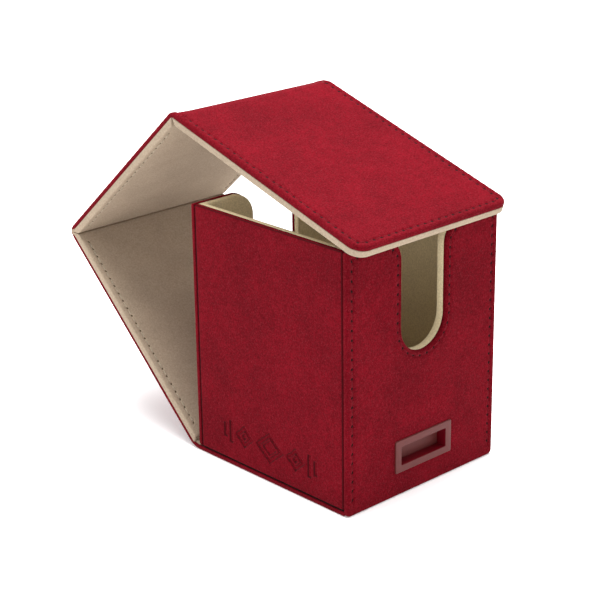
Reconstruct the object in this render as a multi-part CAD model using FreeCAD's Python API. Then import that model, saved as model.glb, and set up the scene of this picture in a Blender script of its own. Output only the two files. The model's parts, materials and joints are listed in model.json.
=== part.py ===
"""Card deck box: an open tray for playing cards with a three-panel lid that folds over it.

Lengths are millimetres.  X is the width, -Y the front, +Z up, and the origin is the middle of
the tray's underside.  Every wall and lid panel is two plies glued back to back: an outer board
wrapped in suede and an inner board wrapped in a pale lining.  The lid is drawn propped open,
with the tip of its flap lying on the front edge of the tray.
"""
import FreeCAD, Part
import math
import os

os.makedirs("parts", exist_ok=True)

# ------------------------------------------------------------------ driving dimensions
WIDTH = 78.0             # tray outside, X
DEPTH = 82.0             # tray outside, Y
HEIGHT = 100.0           # tray outside, Z

SKIN = 0.6               # suede and lining sheets
OUTER_PLY = 1.8          # outer board with its suede
INNER_PLY = 2.4          # inner board with its lining
FRONT_INNER_PLY = 3.2    # the front wall is thicker, to hold the latch recess
GROOVE = 0.5             # open seam round each side panel

NOTCH_WIDTH = 23.0       # thumb notch in the front and back walls
NOTCH_BOTTOM = 54.0
NOTCH_LIP_RADIUS = 9.0   # rounded shoulders where the notch meets the top edge
CORNER_RADIUS = 1.5      # upright corners of the tray

LATCH_HEIGHT = 15.75     # middle of the latch recess above the table
RECESS_WIDTH = 23.6
RECESS_HEIGHT = 7.4
BEZEL_WIDTH = 29.5
BEZEL_HEIGHT = 12.7
BEZEL_PROUD = 0.6
BEZEL_RADIUS = 0.6
SLEEVE_WALL = 0.6
KEEPER_THICKNESS = 0.6
BOSS_CLEARANCE = 0.5     # boss to recess, all round
BOSS_DEPTH = 5.2
BOSS_RADIUS = 1.2
MAGNET_MARGIN = 1.4      # boss wall round the magnet
MAGNET_THICKNESS = 2.0

HINGE_DEPTH = OUTER_PLY  # each fold turns about the line between its two plies
HINGE_BEAD = 1.6         # radius of the rolled fabric along a fold
HINGE_WEB = 0.8          # thickness of the fabric from the bead into the board
BEAD_CLEARANCE = 0.5
WEB_SLACK = 0.05         # web stops this far short of the board
FOLD_END = 1.2           # suede stops this far from the fold line
MITRE_GAP = 0.25
LID_GAP = 0.3            # closed lid to tray
REST_GAP = 0.1           # propped flap to the tray's front edge

BACK_LENGTH = 101.0      # tray hinge to rear fold
TOP_LENGTH = 89.2        # rear fold to front fold
FLAP_LENGTH = 101.3      # front fold to flap tip
TIP_RADIUS = 5.5
BACK_ANGLE = 43.7        # propped panels, from level, turning from +Y towards +Z
TOP_ANGLE = 138.2
REAR_HALF_ANGLE = 42.7   # half the smallest inside angle of each fold
FRONT_HALF_ANGLE = 45.0

# ------------------------------------------------------------------ derived dimensions
LID_THICKNESS = OUTER_PLY + INNER_PLY
FRONT_WALL = OUTER_PLY + FRONT_INNER_PLY
BACK_WALL = OUTER_PLY + INNER_PLY
FLOOR = OUTER_PLY + INNER_PLY
HALF_WIDTH = WIDTH / 2
HALF_DEPTH = DEPTH / 2
TRAY_HINGE = FreeCAD.Vector(0, HALF_DEPTH + LID_GAP + LID_THICKNESS - HINGE_DEPTH, HINGE_DEPTH)
X_AXIS = FreeCAD.Vector(1, 0, 0)
Y_AXIS = FreeCAD.Vector(0, 1, 0)
Z_AXIS = FreeCAD.Vector(0, 0, 1)
TOLERANCE = 1e-4         # two coordinates closer than this are the same
BOSS_REACH = HINGE_DEPTH + BACK_LENGTH - LATCH_HEIGHT   # along the flap to the latch


# ------------------------------------------------------------------ helpers
def save(shape, node):
    """Write one sub-part to its own file."""
    shape.exportStep("parts/" + node + ".step")
    print(node, round(shape.Volume, 1))


def block(x, y, z):
    """Box between the limits (low, high) given for each axis."""
    size = (x[1] - x[0], y[1] - y[0], z[1] - z[0])
    return Part.makeBox(*size, FreeCAD.Vector(x[0], y[0], z[0]))


def fillet_along(shape, radius, axis, test):
    """Round the straight edges that run along an axis and whose ends pass the test."""
    def parallel(edge):
        run = edge.Vertexes[-1].Point - edge.Vertexes[0].Point
        return run.Length > TOLERANCE and near(run.cross(axis).Length, 0)

    edges = [e for e in shape.Edges if parallel(e) and all(test(v.Point) for v in e.Vertexes)]
    return shape.makeFillet(radius, edges)


def near(value, target):
    return abs(value - target) < TOLERANCE


def along(point, angle, length):
    """Point reached from another by a length at an angle in the YZ plane."""
    turn = math.radians(angle)
    return point + FreeCAD.Vector(0, math.cos(turn), math.sin(turn)) * length


# ------------------------------------------------------------------ tray walls
def plain_outline(left, right, low, high, inset):
    """Rectangle in the XZ plane, drawn in by the inset."""
    return Part.Face(Part.makePolygon([
        FreeCAD.Vector(left + inset, 0, low + inset),
        FreeCAD.Vector(right - inset, 0, low + inset),
        FreeCAD.Vector(right - inset, 0, high - inset),
        FreeCAD.Vector(left + inset, 0, high - inset),
        FreeCAD.Vector(left + inset, 0, low + inset)]))


def notched_outline(left, right, low, high, inset):
    """Rectangle with the round-bottomed thumb notch and its rounded shoulders."""
    def point(x, z):
        return FreeCAD.Vector(x, 0, z)

    half = NOTCH_WIDTH / 2 + inset
    bowl = NOTCH_BOTTOM + NOTCH_WIDTH / 2
    shoulder = NOTCH_WIDTH / 2 + NOTCH_LIP_RADIUS
    lip_low = high - NOTCH_LIP_RADIUS
    lip = NOTCH_LIP_RADIUS - inset
    slant = lip * math.sqrt(0.5)
    top = high - inset

    def lip_arc(side):
        return Part.Arc(point(side * shoulder, top),
                        point(side * (shoulder - slant), lip_low + slant),
                        point(side * half, lip_low))

    edges = [
        Part.LineSegment(point(left + inset, low + inset), point(right - inset, low + inset)),
        Part.LineSegment(point(right - inset, low + inset), point(right - inset, top)),
        Part.LineSegment(point(right - inset, top), point(shoulder, top)),
        lip_arc(1),
        Part.LineSegment(point(half, lip_low), point(half, bowl)),
        Part.Arc(point(half, bowl), point(0, bowl - half), point(-half, bowl)),
        Part.LineSegment(point(-half, bowl), point(-half, lip_low)),
        lip_arc(-1),
        Part.LineSegment(point(-shoulder, top), point(left + inset, top)),
        Part.LineSegment(point(left + inset, top), point(left + inset, low + inset))]
    return Part.Face(Part.Wire([edge.toShape() for edge in edges]))


def wrapped_ply(outline, limits, start, thickness, skin_outside):
    """Board and the sheet glued over one face and turned round its edges.

    Depth runs along +Y from the outer face.  The pair comes back as (sheet, board).
    """
    whole = outline(*limits, 0).extrude(FreeCAD.Vector(0, thickness, 0))
    board = outline(*limits, SKIN).extrude(FreeCAD.Vector(0, thickness - SKIN, 0))
    if skin_outside:
        board.translate(FreeCAD.Vector(0, SKIN, 0))
    whole.translate(FreeCAD.Vector(0, start, 0))
    board.translate(FreeCAD.Vector(0, start, 0))
    return whole.cut(board), board


def make_wall(name, outline, distance, turn, outer, inner, inner_ply):
    """Four sheets of one wall, turned to face outward and pushed out to its distance."""
    suede, outer_board = wrapped_ply(outline, outer, 0, OUTER_PLY, True)
    lining, inner_board = wrapped_ply(outline, inner, OUTER_PLY, inner_ply, False)
    place = FreeCAD.Placement(FreeCAD.Vector(), FreeCAD.Rotation(Z_AXIS, turn))
    place.Base = place.Rotation.multVec(FreeCAD.Vector(0, -distance, 0))
    pieces = {name + "_suede": suede, name + "_outer_board": outer_board,
              name + "_inner_board": inner_board, name + "_lining": lining}
    for piece in pieces.values():
        piece.Placement = place.multiply(piece.Placement)
    return pieces


def make_front_and_back():
    """The front wall reaches the table; the back wall stands on the floor's outer ply."""
    front_outer = (-HALF_WIDTH, HALF_WIDTH, 0, HEIGHT)
    back_outer = (-HALF_WIDTH, HALF_WIDTH, OUTER_PLY, HEIGHT)
    inner = (-HALF_WIDTH + OUTER_PLY, HALF_WIDTH - OUTER_PLY, FLOOR, HEIGHT)
    front = make_wall("front", notched_outline, HALF_DEPTH, 0, front_outer, inner, FRONT_INNER_PLY)
    back = make_wall("back", notched_outline, HALF_DEPTH, 180, back_outer, inner, INNER_PLY)

    def at_corner(p):
        return near(abs(p.x), HALF_WIDTH) and near(abs(p.y), HALF_DEPTH)

    front["front_suede"] = fillet_along(front["front_suede"], CORNER_RADIUS, Z_AXIS, at_corner)
    back["back_suede"] = fillet_along(back["back_suede"], CORNER_RADIUS, Z_AXIS, at_corner)
    return front, back


def make_sides():
    seam = HALF_DEPTH - OUTER_PLY - GROOVE
    outer = (-seam, seam, OUTER_PLY + GROOVE, HEIGHT)
    front_end = HALF_DEPTH - FRONT_WALL
    back_end = HALF_DEPTH - BACK_WALL
    left = make_wall("left", plain_outline, HALF_WIDTH, -90, outer,
                     (-back_end, front_end, FLOOR, HEIGHT), INNER_PLY)
    right = make_wall("right", plain_outline, HALF_WIDTH, 90, outer,
                      (-front_end, back_end, FLOOR, HEIGHT), INNER_PLY)
    return left, right


def make_floor():
    """Plies of the bottom, drawn upright and laid flat; the outer one runs on under the back."""
    seam = HALF_DEPTH - OUTER_PLY
    suede, outer_board = wrapped_ply(
        plain_outline, (-HALF_WIDTH, HALF_WIDTH, -HALF_DEPTH, seam), 0, OUTER_PLY, True)
    inner_half = HALF_WIDTH - OUTER_PLY
    lining, inner_board = wrapped_ply(
        plain_outline, (-inner_half, inner_half, -seam, seam), OUTER_PLY, INNER_PLY, False)
    pieces = {"floor_suede": suede, "floor_outer_board": outer_board,
              "floor_inner_board": inner_board, "floor_lining": lining}
    for piece in pieces.values():
        piece.rotate(FreeCAD.Vector(), X_AXIS, 90)
    return pieces


# ------------------------------------------------------------------ latch in the front wall
def latch_block(width, height, y):
    """Upright box centred on the latch."""
    return block((-width / 2, width / 2), y, (LATCH_HEIGHT - height / 2, LATCH_HEIGHT + height / 2))


def make_latch(front):
    """Cut the recess through the front plies; return the bezel and the steel keeper."""
    face = -HALF_DEPTH
    bottom = face + FRONT_WALL - SKIN
    pocket_width = RECESS_WIDTH + 2 * SLEEVE_WALL
    pocket_height = RECESS_HEIGHT + 2 * SLEEVE_WALL
    pocket = latch_block(pocket_width, pocket_height, (face, bottom))
    for node in ("front_suede", "front_outer_board", "front_inner_board"):
        front[node] = front[node].cut(pocket)
    flange = latch_block(BEZEL_WIDTH, BEZEL_HEIGHT, (face - BEZEL_PROUD, face))
    flange = fillet_along(flange, BEZEL_RADIUS, Y_AXIS, lambda p: True)
    sleeve = latch_block(pocket_width, pocket_height, (face, bottom - KEEPER_THICKNESS))
    opening = latch_block(RECESS_WIDTH, RECESS_HEIGHT, (face - BEZEL_PROUD, bottom))
    keeper = latch_block(pocket_width, pocket_height, (bottom - KEEPER_THICKNESS, bottom))
    return {"latch_bezel": flange.fuse(sleeve).cut(opening).removeSplitter(),
            "latch_keeper": keeper}


# ------------------------------------------------------------------ lid panels
def mitre(depth, half_angle):
    """Distance from the fold line at which a panel ends, at a depth inside that line."""
    if depth <= 0 or half_angle is None:
        return FOLD_END
    return MITRE_GAP + depth / math.tan(math.radians(half_angle))


def lid_sheet(length, depths, half_width, start_angle, end_angle, tip_inset=0.0):
    """Flat piece of a lid panel, along +Y from its fold line and as deep in Z as given.

    end_angle is None for the free tip of the flap, whose corners are rounded.
    """
    low, high = depths
    free = end_angle is None
    ends = [length - tip_inset if free else length - mitre(d, end_angle) for d in depths]
    profile = Part.Face(Part.makePolygon([
        FreeCAD.Vector(-half_width, mitre(low, start_angle), low),
        FreeCAD.Vector(-half_width, ends[0], low),
        FreeCAD.Vector(-half_width, ends[1], high),
        FreeCAD.Vector(-half_width, mitre(high, start_angle), high),
        FreeCAD.Vector(-half_width, mitre(low, start_angle), low)]))
    sheet = profile.extrude(X_AXIS * (2 * half_width))
    if free:
        sheet = fillet_along(sheet, TIP_RADIUS - tip_inset, Z_AXIS,
                             lambda p: near(abs(p.x), half_width) and near(p.y, ends[0]))
    folds = [0] if free else [0, length]
    for fold in folds:
        sheet = sheet.cut(Part.makeCylinder(
            HINGE_BEAD + BEAD_CLEARANCE, 2 * WIDTH, FreeCAD.Vector(-WIDTH, fold, 0), X_AXIS))
    return sheet


def make_panel(name, length, start_angle, end_angle):
    """Suede, two boards and lining of one lid panel, lying along +Y with the inside up."""
    tip = SKIN if end_angle is None else 0.0
    outer = (-HINGE_DEPTH, LID_THICKNESS - HINGE_DEPTH - INNER_PLY)
    inner = (outer[1], LID_THICKNESS - HINGE_DEPTH)

    def sheet(depths, inset):
        return lid_sheet(length, depths, HALF_WIDTH - inset, start_angle, end_angle,
                         tip if inset else 0.0)

    outer_board = sheet((outer[0] + SKIN, outer[1]), SKIN)
    inner_board = sheet((inner[0], inner[1] - SKIN), SKIN)
    return {name + "_suede": sheet(outer, 0).cut(outer_board),
            name + "_outer_board": outer_board,
            name + "_inner_board": inner_board,
            name + "_lining": sheet(inner, 0).cut(inner_board)}


def make_boss():
    """Block on the flap's inside that drops into the latch recess, and its hidden magnet."""
    inside = LID_THICKNESS - HINGE_DEPTH
    half_width = RECESS_WIDTH / 2 - BOSS_CLEARANCE
    half_height = RECESS_HEIGHT / 2 - BOSS_CLEARANCE
    boss = block((-half_width, half_width),
                 (BOSS_REACH - half_height, BOSS_REACH + half_height),
                 (inside, inside + BOSS_DEPTH))
    boss = boss.makeFillet(BOSS_RADIUS, [e for e in boss.Edges if e.BoundBox.ZMax > inside + SKIN])
    magnet = block((-half_width + MAGNET_MARGIN, half_width - MAGNET_MARGIN),
                   (BOSS_REACH - half_height + MAGNET_MARGIN, BOSS_REACH + half_height - MAGNET_MARGIN),
                   (inside, inside + MAGNET_THICKNESS))
    return {"latch_boss": boss.cut(magnet), "latch_magnet": magnet}


def make_hinge(point, angle, reach):
    """Rolled fabric along a fold line, with a web into the board it is glued to."""
    web = block((-HALF_WIDTH + SKIN, HALF_WIDTH - SKIN), (0, reach), (-HINGE_WEB / 2, HINGE_WEB / 2))
    bead = Part.makeCylinder(HINGE_BEAD, WIDTH - 2 * SKIN,
                             FreeCAD.Vector(-HALF_WIDTH + SKIN, 0, 0), X_AXIS)
    hinge = bead.fuse(web).removeSplitter()
    place = FreeCAD.Placement(point, FreeCAD.Rotation(X_AXIS, angle))
    hinge.Placement = place.multiply(hinge.Placement)
    return hinge


def flap_angle(fold):
    """Angle at which the flap's inside face just clears the tray's front top edge."""
    edge_y = -HALF_DEPTH - fold.y
    edge_z = HEIGHT - fold.z
    reach = math.hypot(edge_y, edge_z)
    offset = LID_THICKNESS - HINGE_DEPTH + REST_GAP
    return math.degrees(math.atan2(edge_z, edge_y) - math.asin(offset / reach)) % 360


def make_lid():
    """The three panels in their propped places, with the fabric of the three folds."""
    rear_fold = along(TRAY_HINGE, BACK_ANGLE, BACK_LENGTH)
    front_fold = along(rear_fold, TOP_ANGLE, TOP_LENGTH)
    flap = flap_angle(front_fold)
    print("rear fold", rear_fold, "front fold", front_fold, "flap angle", flap)

    back = make_panel("lid_back", BACK_LENGTH, None, REAR_HALF_ANGLE)
    top = make_panel("lid_top", TOP_LENGTH, REAR_HALF_ANGLE, FRONT_HALF_ANGLE)
    front = make_panel("lid_flap", FLAP_LENGTH, FRONT_HALF_ANGLE, None)
    front.update(make_boss())
    for pieces, point, angle in ((back, TRAY_HINGE, BACK_ANGLE), (top, rear_fold, TOP_ANGLE),
                                 (front, front_fold, flap)):
        place = FreeCAD.Placement(point, FreeCAD.Rotation(X_AXIS, angle))
        for piece in pieces.values():
            piece.Placement = place.multiply(piece.Placement)

    web_end = HINGE_BEAD + BEAD_CLEARANCE - WEB_SLACK
    hinges = {"tray_hinge": make_hinge(TRAY_HINGE, 180, TRAY_HINGE.y - HALF_DEPTH),
              "rear_fold": make_hinge(rear_fold, BACK_ANGLE + 180, web_end),
              "front_fold": make_hinge(front_fold, TOP_ANGLE + 180, web_end)}
    return {**back, **top, **front, **hinges}


# ------------------------------------------------------------------ the whole box
def make_box():
    front, back = make_front_and_back()
    left, right = make_sides()
    latch = make_latch(front)
    return {**make_floor(), **front, **back, **left, **right, **latch, **make_lid()}


for node_name, solid in make_box().items():
    save(solid, node_name)
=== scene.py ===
"""Card deck box: the looks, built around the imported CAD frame.

Every wall and lid panel is two fabric-covered boards back to back, so most pieces here are
soft covers: a suede cover outside and a pale lining inside.  Shapes are worked out in
millimetres in the CAD's frame and turned into metres when a mesh is made.
"""
import json
import math

import bmesh
import bpy
from mathutils import Matrix, Vector


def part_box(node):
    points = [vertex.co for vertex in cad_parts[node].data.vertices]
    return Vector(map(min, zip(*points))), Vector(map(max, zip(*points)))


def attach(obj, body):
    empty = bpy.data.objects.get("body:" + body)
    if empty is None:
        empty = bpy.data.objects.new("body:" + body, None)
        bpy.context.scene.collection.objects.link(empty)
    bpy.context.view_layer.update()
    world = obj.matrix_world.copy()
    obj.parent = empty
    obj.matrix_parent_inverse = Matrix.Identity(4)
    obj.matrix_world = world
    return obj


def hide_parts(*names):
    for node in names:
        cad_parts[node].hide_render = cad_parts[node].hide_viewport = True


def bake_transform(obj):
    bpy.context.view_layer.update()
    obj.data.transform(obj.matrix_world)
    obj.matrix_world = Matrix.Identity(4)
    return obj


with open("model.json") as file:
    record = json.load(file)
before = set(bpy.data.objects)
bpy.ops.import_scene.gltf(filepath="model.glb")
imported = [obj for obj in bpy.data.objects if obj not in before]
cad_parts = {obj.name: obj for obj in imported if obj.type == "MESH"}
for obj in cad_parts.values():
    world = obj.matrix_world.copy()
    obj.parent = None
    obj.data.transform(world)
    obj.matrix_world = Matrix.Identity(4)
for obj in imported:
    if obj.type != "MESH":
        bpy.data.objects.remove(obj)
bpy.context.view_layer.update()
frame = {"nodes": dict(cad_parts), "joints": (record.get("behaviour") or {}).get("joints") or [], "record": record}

# ------------------------------------------------------------------ sizes, in millimetres
MM = 0.001
SKIN = 0.6                # thickness of the suede and of the lining
OUTER_PLY = 1.8
INNER_PLY = 2.4
FRONT_INNER_PLY = 3.2
SIDE_SEAM = 0.5           # open seam round a side wall
LID_LINING = 2.6          # inner ply of the lid, with its nap standing proud
FLAP_LENGTH = 101.3       # from the front fold to the flap's tip
MITRE_GAP = 0.12

NOTCH_HALF = 11.5
NOTCH_BOTTOM = 54.0
NOTCH_LIP_RADIUS = 9.0
FOOT_CORNER = 1.9
TOP_CORNER = 0.6
TIP_RADIUS = 5.5

COVER_ROUND = 0.95        # rolled edge of a suede cover
SIDE_ROUND = 0.9
FLOOR_ROUND = 0.8
LINING_ROUND = 0.6        # rolled edge of a lining
FLOOR_LINING_ROUND = 0.5

STITCH_PITCH = 3.6
STITCH_INSET = 2.8        # from the edge to the row of stitches
NOTCH_TIGHTEN = 0.9       # how much closer the row runs to the edge round a notch
STEP = STITCH_PITCH / 8   # spacing of points along an edge
SEAM_DEPTH = 0.54         # how far the suede is pulled in at a needle hole
LINING_SEAM_DEPTH = 0.22  # the lining is pulled in less
LINING_STITCH_RAISE = 0.16  # so its stitches lie this much higher
THREAD_RADIUS = 0.3
HOLE_RADIUS = 0.85
HOLE_SINK = 0.44          # foot of the dome painted as shade in a needle hole, below the row of stitches
HOLE_RISE = 0.16          # height of that painted-shade dome

FOLD_CLEAR = 4.0          # hinge fabric reaches this far from a fold line
HINGE_CLEAR = 6.0         # and this far up the back panel from the tray hinge
BACKING_HEIGHT = 0.8      # lining carried through a fold, inside the suede
BACKING_ROUND = 0.3
BACKING_SINK = 0.35       # how far the backing reaches in past the glue line

MOTIF_PATCH = (-28.0, 28.0, 7.0, 21.0)   # left, right, low and high end of the pressed area
MOTIF_DEPTH = 0.55
MOTIF_SOFTNESS = 0.28     # half the width of the ornament's sloping sides
LOZENGES = ((0, 7.6, 6.0), (-14.0, 5.0, 4.4), (14.0, 5.0, 4.4))   # middle, half width, half height
LOZENGE_BAND = 1.5        # width of the band along a lozenge's edge
LOZENGE_CORE = 2.4        # from a lozenge's edge to the solid one inside it
BARS = ((21.4, 4.4), (24.6, 2.8))        # distance from the middle, half height
BAR_HALF = 0.85

BEZEL_PROUD = 0.6
BEZEL_DEPTH = 3.8
RECESS = (23.6, 7.4)
SLEEVE_WALL = 0.6

# ------------------------------------------------------------------ places, from the frame
JOINT = {j["name"]: j for j in frame["joints"]}


def joint_point(name):
    return Vector(JOINT[name]["pos_m"]) / MM


def span(node):
    """Lowest and highest corner of a CAD node, in millimetres."""
    low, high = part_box(node)
    return low / MM, high / MM


TRAY_HINGE = joint_point("tray_hinge")
REAR_FOLD = joint_point("rear_fold")
FRONT_FOLD = joint_point("front_fold")
FRONT_HIGH = span("front_suede")[1]
HALF_WIDTH = FRONT_HIGH.x
HALF_DEPTH = span("back_suede")[1].y
HEIGHT = FRONT_HIGH.z
BEZEL_LOW, BEZEL_HIGH = span("latch_bezel")
LATCH_HEIGHT = (BEZEL_LOW.z + BEZEL_HIGH.z) / 2
FLOOR_TOP = OUTER_PLY + INNER_PLY


def heading(start, end):
    """Angle in degrees of a line in the YZ plane, from +Y towards +Z."""
    return math.degrees(math.atan2(end.z - start.z, end.y - start.y))


BACK_ANGLE = heading(TRAY_HINGE, REAR_FOLD)
TOP_ANGLE = heading(REAR_FOLD, FRONT_FOLD)
FLAP_ANGLE = TOP_ANGLE + JOINT["front_fold"]["range_deg"][1]
BACK_LENGTH = (REAR_FOLD - TRAY_HINGE).length
TOP_LENGTH = (FRONT_FOLD - REAR_FOLD).length


class Plane:
    """A flat working plane: x across, s along, h up out of it."""

    def __init__(self, origin, across, along, out):
        self.origin, self.across, self.along, self.out = origin, across, along, out

    def at(self, x, s, h):
        return self.origin + self.across * x + self.along * s + self.out * h


def lid_plane(origin, angle, inside):
    """Plane of a lid panel at the glue line between its plies, seen from one side."""
    turn = math.radians(angle)
    along = Vector((0, math.cos(turn), math.sin(turn)))
    inward = Vector((0, -math.sin(turn), math.cos(turn)))
    return Plane(origin, Vector((1, 0, 0)), along, inward if inside else -inward)


def wall_plane(out, distance):
    """Upright plane facing out (a unit vector along X or Y) at a distance from the middle."""
    across = Vector((0, 0, 1)).cross(out)
    return Plane(out * distance, across, Vector((0, 0, 1)), out)


LEFT, RIGHT = Vector((-1, 0, 0)), Vector((1, 0, 0))
FRONT, BACK = Vector((0, -1, 0)), Vector((0, 1, 0))


# ------------------------------------------------------------------ outlines
class Outline:
    """Closed outline with a rounded corner at each point, which can be drawn inset.

    corners holds (x, s, radius) anticlockwise.  Every inset gives the same number of points.
    """

    def __init__(self, corners, step=STEP, arc_points=8):
        self.corners = corners
        self.arc_points = arc_points
        self.runs = []
        ends = self._arcs(0.0)
        for i, arc in enumerate(ends):
            after = ends[(i + 1) % len(ends)]
            gap = (after[0] - arc[-1]).length
            self.runs.append(max(1, round(gap / step)))

    def _arcs(self, inset):
        points = [Vector((c[0], c[1])) for c in self.corners]
        count = len(points)
        arcs = []
        for i, (_, _, radius) in enumerate(self.corners):
            before = (points[i] - points[i - 1]).normalized()
            after = (points[(i + 1) % count] - points[i]).normalized()
            left_before = Vector((-before.y, before.x))
            left_after = Vector((-after.y, after.x))
            turn = before.angle_signed(after) * -1
            corner = points[i] + (left_before + left_after) * inset / (1 + left_before.dot(left_after))
            side = 1 if turn > 0 else -1
            size = max(radius - inset * side, 0.02)
            centre = corner - before * size * math.tan(abs(turn) / 2) + left_before * size * side
            start = math.atan2(-left_before.y * side, -left_before.x * side)
            arcs.append([centre + Vector((math.cos(start + turn * k / self.arc_points),
                                          math.sin(start + turn * k / self.arc_points))) * size
                         for k in range(self.arc_points + 1)])
        return arcs

    def ring(self, inset):
        """Points of the outline drawn in by the inset."""
        arcs = self._arcs(inset)
        points = []
        for i, arc in enumerate(arcs):
            after = arcs[(i + 1) % len(arcs)][0]
            points.extend(arc[:-1])
            points.extend(arc[-1].lerp(after, k / self.runs[i]) for k in range(self.runs[i]))
        return points


def box_outline(left, right, low, high, low_radius, high_radius, step=STEP):
    return Outline([(left, low, low_radius), (right, low, low_radius),
                    (right, high, high_radius), (left, high, high_radius)], step)


def notched_outline(half, low, high, low_radius, high_radius):
    """Wall with the thumb notch open at its top edge."""
    bowl = NOTCH_HALF - 0.01
    return Outline([(-half, low, low_radius), (half, low, low_radius), (half, high, high_radius),
                    (NOTCH_HALF, high, NOTCH_LIP_RADIUS), (NOTCH_HALF, NOTCH_BOTTOM, bowl),
                    (-NOTCH_HALF, NOTCH_BOTTOM, bowl), (-NOTCH_HALF, high, NOTCH_LIP_RADIUS),
                    (-half, high, high_radius)], arc_points=22)


def path_lengths(points):
    """Distance along a path at each of its points."""
    total = 0.0
    lengths = [0.0]
    for before, after in zip(points, points[1:]):
        total += (after - before).length
        lengths.append(total)
    return lengths


# ------------------------------------------------------------------ cross-sections of covers
def rolled_rim(thickness, rounding):
    """Cover's edge as (inset, height): the pocket for the board, then up over the rolled edge."""
    rim = [(SKIN, thickness - SKIN), (SKIN, 0.0), (0.30, 0.0), (0.08, 0.12), (0.0, 0.4)]
    low = thickness - rounding
    steps = 6
    for k in range(steps + 1):
        turn = math.pi / 2 * k / steps
        rim.append((rounding * (1 - math.cos(turn)), low + rounding * math.sin(turn)))
    return rim


STITCH_OFFSETS = (-0.95, -0.65, -0.42, -0.2, 0.0, 0.2, 0.42, 0.65, 0.95, 1.4, 2.0)


def stitched_rim(thickness, rounding):
    """Rolled edge, then close-set lines through the row of stitches."""
    return rolled_rim(thickness, rounding) + [(STITCH_INSET + d, thickness) for d in STITCH_OFFSETS]


def plain_rim(thickness, rounding):
    return rolled_rim(thickness, rounding) + [(rounding + 0.8, thickness)]


SEAM_ABOVE = 0.85         # stitches pull in only the part above this share of the thickness
FAR_INSET = 9.0           # an inset that no stitch reaches


def hill(distance, width):
    return math.exp(-(distance / width) ** 2)


HOLE_REACH = 0.62         # how far along the row a needle hole pulls the cover in
ROLL_PLACE = 1.35         # from the row out to the crest of the puffed edge
SHOULDER_PLACE = 1.15     # from the row in to the crest of the low rise


def seam_relief(inset, phase, depth):
    """Rise and fall of a cover beside its stitches; phase is whole at each needle hole.

    A groove runs along the row and widens into a pit at each hole.  The edge outside it puffs up
    between the holes, and the cover inside it rises a little.
    """
    to_hole = abs(phase - round(phase)) * STITCH_PITCH
    pull = hill(to_hole, HOLE_REACH)
    away = inset - STITCH_INSET
    groove = -depth * hill(away, 0.5 + 0.35 * pull) * (0.30 + 0.70 * pull)
    roll = depth * hill(away + ROLL_PLACE, 0.75) * (0.75 - 0.35 * pull)
    shoulder = depth * hill(away - SHOULDER_PLACE, 0.6) * (0.16 - 0.08 * pull)
    return groove + roll + shoulder


# ------------------------------------------------------------------ meshes
def make_piece(name, points, faces, material, smooth_angle=40):
    """Object from points in millimetres, with outward normals and smooth shading."""
    mesh = bpy.data.meshes.new(name)
    mesh.from_pydata([p * MM for p in points], [], faces)
    work = bmesh.new()
    work.from_mesh(mesh)
    bmesh.ops.recalc_face_normals(work, faces=work.faces)
    work.to_mesh(mesh)
    work.free()
    mesh.polygons.foreach_set("use_smooth", [True] * len(mesh.polygons))
    mesh.set_sharp_from_angle(angle=math.radians(smooth_angle))
    piece = bpy.data.objects.new(name, mesh)
    bpy.context.scene.collection.objects.link(piece)
    mesh.materials.append(material)
    return piece


def ring_faces(first, second, count, closed=True):
    """Quads between two rings of points that start at the given indices."""
    last = count if closed else count - 1
    return [(first + i, first + (i + 1) % count, second + (i + 1) % count, second + i)
            for i in range(last)]


def stack_faces(rows, count, closed=True):
    """Quads between each row of points and the next."""
    faces = []
    for k in range(rows - 1):
        faces += ring_faces(k * count, (k + 1) * count, count, closed)
    return faces


def end_faces(rows, count):
    """The faces that close the first and the last row."""
    return [tuple(range(count)), tuple(range((rows - 1) * count, rows * count))]


def near_notch(x, s):
    """1 beside the thumb notch, fading to 0 away from it."""
    beside = NOTCH_HALF + 5.0 - abs(x)
    above = s - NOTCH_BOTTOM + 5.0
    return min(max(min(beside, above) / 1.5, 0.0), 1.0)


def seam_ring(outline, inset, tighten):
    """Outline drawn in by the inset, but closer to the edge where tighten says so."""
    ring = outline.ring(inset)
    if not tighten:
        return ring
    shifted = outline.ring(inset - NOTCH_TIGHTEN)
    return [a.lerp(b, tighten(a.x, a.y)) for a, b in zip(ring, shifted)]


def cover_rings(plane, outline, rim, warp, stitched, depth, tighten=None):
    """Points of a cover, ring by ring, with its stitched edge pulled down."""
    seam_line = seam_ring(outline, STITCH_INSET, tighten)
    top = rim[-1][1]
    seam_path = [plane.at(p.x, warp(p.y, top), top) for p in seam_line]
    phases = [length / STITCH_PITCH for length in path_lengths(seam_path)]
    weights = [stitched(p.x, p.y) if stitched else 0.0 for p in seam_line]
    points = []
    for inset, height in rim:
        past_roll = inset > STITCH_INSET - 1.0
        ring = seam_ring(outline, inset, tighten if past_roll else None)
        for p, phase, weight in zip(ring, phases, weights):
            relief = weight * seam_relief(inset, phase, depth) if height > SEAM_ABOVE * top else 0.0
            points.append(plane.at(p.x, warp(p.y, height), height + relief))
    return points, len(seam_line)


def straight(s, height):
    return s


def board_cover(name, plane, outline, rim, material, warp=straight, stitched=None, depth=SEAM_DEPTH,
                tighten=None):
    """Closed cover: rings up over the rolled edge, a flat middle and a pocket for the board."""
    points, count = cover_rings(plane, outline, rim, warp, stitched, depth, tighten)
    faces = stack_faces(len(rim), count) + end_faces(len(rim), count)
    return make_piece(name, points, faces, material)


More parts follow.
